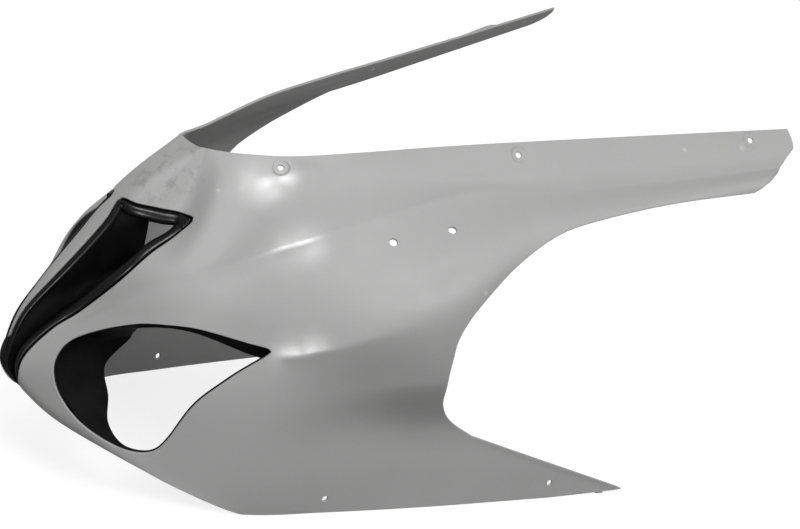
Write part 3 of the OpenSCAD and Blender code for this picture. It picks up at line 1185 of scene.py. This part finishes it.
class Nodes:
    """Short ways to wire a material's nodes."""

    def __init__(self, name: str) -> None:
        self.material = bpy.data.materials.new(name)
        self.material.use_nodes = True
        self.tree = self.material.node_tree
        self.shader = self.tree.nodes["Principled BSDF"]
        self.coords = self.tree.nodes.new("ShaderNodeTexCoord").outputs["Object"]

    def link(self, source: Socket, target: Socket) -> None:
        """Links two sockets.

        Args:
            source: Output socket.
            target: Input socket.
        """
        self.tree.links.new(source, target)

    def noise(self, scale: float, detail: float, rough: float) -> Socket:
        """Noise over the object.

        Args:
            scale: Its scale per metre.
            detail: Number of octaves.
            rough: Strength of the finer octaves.

        Returns:
            The output socket.
        """
        node = self.tree.nodes.new("ShaderNodeTexNoise")
        node.inputs["Scale"].default_value = scale
        node.inputs["Detail"].default_value = detail
        node.inputs["Roughness"].default_value = rough
        self.link(self.coords, node.inputs["Vector"])
        return node.outputs["Fac"]

    def ramp(
            self, source: Socket, low: float, high: float, start: float, end: float,
            way: str = "LINEAR") -> Socket:
        """Maps a range onto another and clamps it.

        Args:
            source: Socket to map.
            low: Start of the range.
            high: End of the range.
            start: Value at low.
            end: Value at high.
            way: How it goes from one to the other.

        Returns:
            The output socket.
        """
        node = self.tree.nodes.new("ShaderNodeMapRange")
        node.interpolation_type = way
        for name, value in (("From Min", low), ("From Max", high), ("To Min", start), ("To Max", end)):
            node.inputs[name].default_value = value
        self.link(source, node.inputs["Value"])
        return node.outputs["Result"]

    def cloud(
            self, scale: float, detail: float, rough: float, low: float, high: float,
            start: float = 0.0, end: float = 1.0) -> Socket:
        """Noise of which a range is stretched onto another and clamped.

        Args:
            scale: Its scale per metre.
            detail: Number of octaves.
            rough: Strength of the finer octaves.
            low: Start of the range.
            high: End of the range.
            start: Value at low.
            end: Value at high.

        Returns:
            The output socket.
        """
        return self.ramp(self.noise(scale, detail, rough), low, high, start, end)

    def math(self, kind: str, a: Socket | float, b: Socket | float) -> Socket:
        """One step of arithmetic.

        Args:
            kind: Name of the operation.
            a: Socket or number.
            b: Socket or number.

        Returns:
            The output socket.
        """
        node = self.tree.nodes.new("ShaderNodeMath")
        node.operation = kind
        for k, value in enumerate((a, b)):
            if isinstance(value, (int, float)):
                node.inputs[k].default_value = value
            else:
                self.link(value, node.inputs[k])
        return node.outputs[0]

    def mix(self, factor: Socket, a: Socket | tuple, b: Socket | tuple) -> Socket:
        """Mixes two colours.

        Args:
            factor: Socket between 0 and 1.
            a: Colour or socket at 0.
            b: Colour or socket at 1.

        Returns:
            The output socket.
        """
        node = self.tree.nodes.new("ShaderNodeMix")
        node.data_type = "RGBA"
        self.link(factor, node.inputs["Factor"])
        for name, value in (("A", a), ("B", b)):
            socket = [s for s in node.inputs if s.name == name and s.type == "RGBA"][0]
            if isinstance(value, tuple):
                socket.default_value = (*value, 1.0)
            else:
                self.link(value, socket)
        return [s for s in node.outputs if s.type == "RGBA"][0]

    def bump(self, height: Socket, strength: float, distance: float) -> None:
        """Adds relief to the surface.

        Args:
            height: Socket of the height.
            strength: Strength of the relief.
            distance: Height of the relief in metres.
        """
        node = self.tree.nodes.new("ShaderNodeBump")
        node.inputs["Strength"].default_value = strength
        node.inputs["Distance"].default_value = distance
        self.link(height, node.inputs["Height"])
        self.link(node.outputs["Normal"], self.shader.inputs["Normal"])

    def spot(self, centre: Sequence[float], radius: float) -> Socket:
        """Soft round spot.

        Args:
            centre: Its place in mm.
            radius: Its radius in mm.

        Returns:
            Socket that is 1 in the middle and 0 outside.
        """
        node = self.tree.nodes.new("ShaderNodeVectorMath")
        node.operation = "DISTANCE"
        self.link(self.coords, node.inputs[0])
        node.inputs[1].default_value = [c * MM for c in centre]
        return self.ramp(node.outputs["Value"], 0.0, radius * MM, 1.0, 0.0, "SMOOTHSTEP")


def grey_plastic() -> Material:
    """Unpainted grey moulding plastic: fine grain, smudges on the nose, and polish where hands rub.

    Returns:
        The material.
    """
    n = Nodes("grey_moulded_plastic")
    base = n.mix(n.cloud(scale=7, detail=4, rough=0.55, low=0.3, high=0.7), *GREY_TONES)
    grain = n.cloud(scale=900, detail=2, rough=0.5, low=0.35, high=0.65)
    base = n.mix(n.math("MULTIPLY", grain, 0.10), base, GRAIN_TONE)
    streaks = n.cloud(scale=70, detail=5, rough=0.65, low=0.50, high=0.66, end=0.34)
    for place, radius in SMUDGES:
        base = n.mix(n.math("MULTIPLY", n.spot(place, radius), streaks), base, SMUDGE_TONE)
    for place, radius in SCRATCHES:
        base = n.mix(n.math("MULTIPLY", n.spot(place, radius), 0.35), base, SCRATCH_TONE)
    polish = None
    for place, radius in RUBBED:
        spot = n.spot(place, radius)
        polish = spot if polish is None else n.math("MAXIMUM", polish, spot)
    rough = n.cloud(scale=60, detail=3, rough=0.6, low=0.3, high=0.7, start=0.58, end=0.62)
    n.link(n.math("SUBTRACT", rough, n.math("MULTIPLY", polish, 0.30)), n.shader.inputs["Roughness"])
    n.link(base, n.shader.inputs["Base Color"])
    n.shader.inputs["Specular IOR Level"].default_value = 0.5
    n.bump(n.noise(scale=1500, detail=2, rough=0.5), strength=0.12, distance=0.0004)
    return n.material


def black_plastic(
        name: str, tones: tuple, clouds: tuple, roughness: tuple, specular: float,
        relief_of: tuple) -> Material:
    """Black plastic with faint haze.

    Args:
        name: Name of the material.
        tones: Its darkest and its lightest colour.
        clouds: Noise of the colour: scale, detail, rough, low and high.
        roughness: Noise of the roughness, with its lowest and highest value.
        specular: Level of its shine.
        relief_of: Noise of the relief, with its strength and its height in metres.

    Returns:
        The material.
    """
    n = Nodes(name)
    n.link(n.mix(n.cloud(*clouds), *tones), n.shader.inputs["Base Color"])
    n.link(n.cloud(*roughness), n.shader.inputs["Roughness"])
    n.shader.inputs["Specular IOR Level"].default_value = specular
    n.bump(n.noise(*relief_of[:3]), *relief_of[3:])
    return n.material


@dataclass(frozen=True)
class AreaLight:
    """A square light, either for the general level or for the glints of glossy places.

    Args:
        name: Its name.
        place: Where it hangs, in metres.
        target: Where it points.
        size: Its side, in metres.
        power: Its power in watts.
        is_glint: Whether it is for the glints only.
    """

    name: str
    place: tuple[float, float, float]
    target: tuple[float, float, float]
    size: float
    power: float
    is_glint: bool

    def add(self) -> None:
        """Adds it to the scene."""
        light = bpy.data.lights.new(self.name, "AREA")
        light.shape = "SQUARE"
        light.size = self.size
        light.energy = self.power
        lamp = bpy.data.objects.new(self.name, light)
        lamp.location = self.place
        lamp.visible_glossy = self.is_glint
        lamp.visible_diffuse = not self.is_glint
        lamp.rotation_euler = (Vector(self.place) - Vector(self.target)).to_track_quat("Z", "Y").to_euler()
        bpy.context.scene.collection.objects.link(lamp)


LIGHTS = [
    AreaLight("soft_top", (0.5, 2.3, 2.5), (0.0, 0.1, 0.2), 1.8, 52, False),
    AreaLight("far_side", (0.6, -2.5, 2.0), (0.0, -0.1, 0.2), 1.8, 16, False),
    AreaLight("high_side", (0.45, 1.72, 2.74), (0.12, 0.15, 0.25), 0.2, 56, True),
    AreaLight("high_front", (0.84, 1.25, 2.79), (0.17, 0.07, 0.33), 0.2, 40, True),
    AreaLight("low_side", (1.56, 2.35, 0.36), (0.16, 0.18, 0.19), 0.2, 50, True)]


def add_camera() -> None:
    """Adds the camera that the photograph was taken with, as fitted to it."""
    azimuth, elevation, roll = (math.radians(a) for a in CAMERA_ANGLES)
    out = Vector((
        math.cos(elevation) * math.sin(azimuth),
        math.cos(elevation) * math.cos(azimuth),
        math.sin(elevation)))
    right = Vector((-math.cos(azimuth), math.sin(azimuth), 0))
    up = out.cross(right)
    if up.z < 0:
        up = -up
    turned = math.cos(roll) * right + math.sin(roll) * up
    upright = -math.sin(roll) * right + math.cos(roll) * up
    matrix = Matrix((turned, upright, out)).transposed().to_4x4()
    matrix.translation = Vector(CAMERA_AIM) + CAMERA_DISTANCE * out
    camera = bpy.data.objects.new("camera", bpy.data.cameras.new("camera"))
    camera.data.lens = CAMERA_LENS
    camera.data.sensor_width = SENSOR_WIDTH
    camera.data.clip_end = FAR_CLIP
    camera.matrix_world = matrix
    bpy.context.scene.collection.objects.link(camera)
    bpy.context.scene.camera = camera


def add_floor() -> None:
    """Adds the pale floor, which the camera sees as white where no shadow falls."""
    mesh = bpy.data.meshes.new("floor")
    corners = [(x * FLOOR_REACH, y * FLOOR_REACH, 0) for x, y in ((-1, -1), (1, -1), (1, 1), (-1, 1))]
    mesh.from_pydata(corners, [], [(0, 1, 2, 3)])
    floor = bpy.data.objects.new("floor", mesh)
    bpy.context.scene.collection.objects.link(floor)
    n = Nodes("pale_floor")
    n.shader.inputs["Base Color"].default_value = FLOOR_TONE
    n.shader.inputs["Roughness"].default_value = 0.9
    n.shader.inputs["Specular IOR Level"].default_value = 0.1
    n.shader.inputs["Emission Color"].default_value = WHITE
    seen = n.tree.nodes.new("ShaderNodeLightPath").outputs["Is Camera Ray"]
    n.link(n.math("MULTIPLY", seen, FLOOR_GLOW), n.shader.inputs["Emission Strength"])
    mesh.materials.append(n.material)


def add_studio() -> None:
    """Adds the floor, the white surroundings and the lights."""
    add_floor()
    world = bpy.data.worlds.new("surroundings")
    bpy.context.scene.world = world
    world.use_nodes = True
    tree = world.node_tree
    light = tree.nodes["Background"]
    light.inputs["Color"].default_value = WHITE
    light.inputs["Strength"].default_value = WORLD_LIGHT
    seen = tree.nodes.new("ShaderNodeBackground")
    seen.inputs["Color"].default_value = WHITE
    seen.inputs["Strength"].default_value = 1.0
    path = tree.nodes.new("ShaderNodeLightPath")
    blend = tree.nodes.new("ShaderNodeMixShader")
    tree.links.new(path.outputs["Is Camera Ray"], blend.inputs["Fac"])
    tree.links.new(light.outputs[0], blend.inputs[1])
    tree.links.new(seen.outputs[0], blend.inputs[2])
    tree.links.new(blend.outputs[0], tree.nodes["World Output"].inputs["Surface"])
    for area in LIGHTS:
        area.add()
    bpy.context.scene.view_settings.view_transform = "Standard"


def add_piece(data: MeshData, name: str, material: Material, node: str) -> None:
    """Adds a finished piece in place of a CAD node.

    Args:
        data: Its mesh.
        name: Its name.
        material: Its material.
        node: CAD node that it stands for.
    """
    piece = data.build(name, material)
    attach(piece, "root")
    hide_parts(node)
    LOG.info("%s: %d faces", name, len(data.faces))


def main() -> None:
    """Builds the scene."""
    grey = grey_plastic()
    gloss = black_plastic(
        "gloss_black_plastic", GLOSS_TONES, clouds=(40, 5, 0.65, 0.45, 0.75),
        roughness=(30, 4, 0.6, 0.35, 0.7, 0.30, 0.4), specular=0.2, relief_of=(120, 2, 0.5, 0.03, 0.0005))
    dark = black_plastic(
        "dark_satin_plastic", DARK_TONES, clouds=(25, 4, 0.6, 0.35, 0.7),
        roughness=(50, 3, 0.6, 0.3, 0.7, 0.34, 0.5), specular=0.08, relief_of=(900, 2, 0.5, 0.1, 0.0004))
    add_piece(walled_skin(clipped_grid(Trim())), "moulded_cowl", grey, "cowl_shell")
    duct = duct_rings()
    surround = surround_rings()
    for side, word in ((1, "left"), (-1, "right")):
        mouth = lofted(duct, DUCT_WALL, DUCT_LEAST, side)
        add_piece(mouth, word + "_mouth", gloss, word + "_intake_duct")
        lamp_frame = lofted(surround, SURROUND_WALL, NO_LEAST, side)
        add_piece(lamp_frame, word + "_lamp_frame", dark, word + "_lamp_surround")
        tab = FinTab().build(side, word + "_fin_tab", grey)
        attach(tab, "root")
        LOG.info("%s: %d faces", tab.name, len(tab.data.polygons))
    add_camera()
    add_studio()


if __name__ == "__main__":
    main()
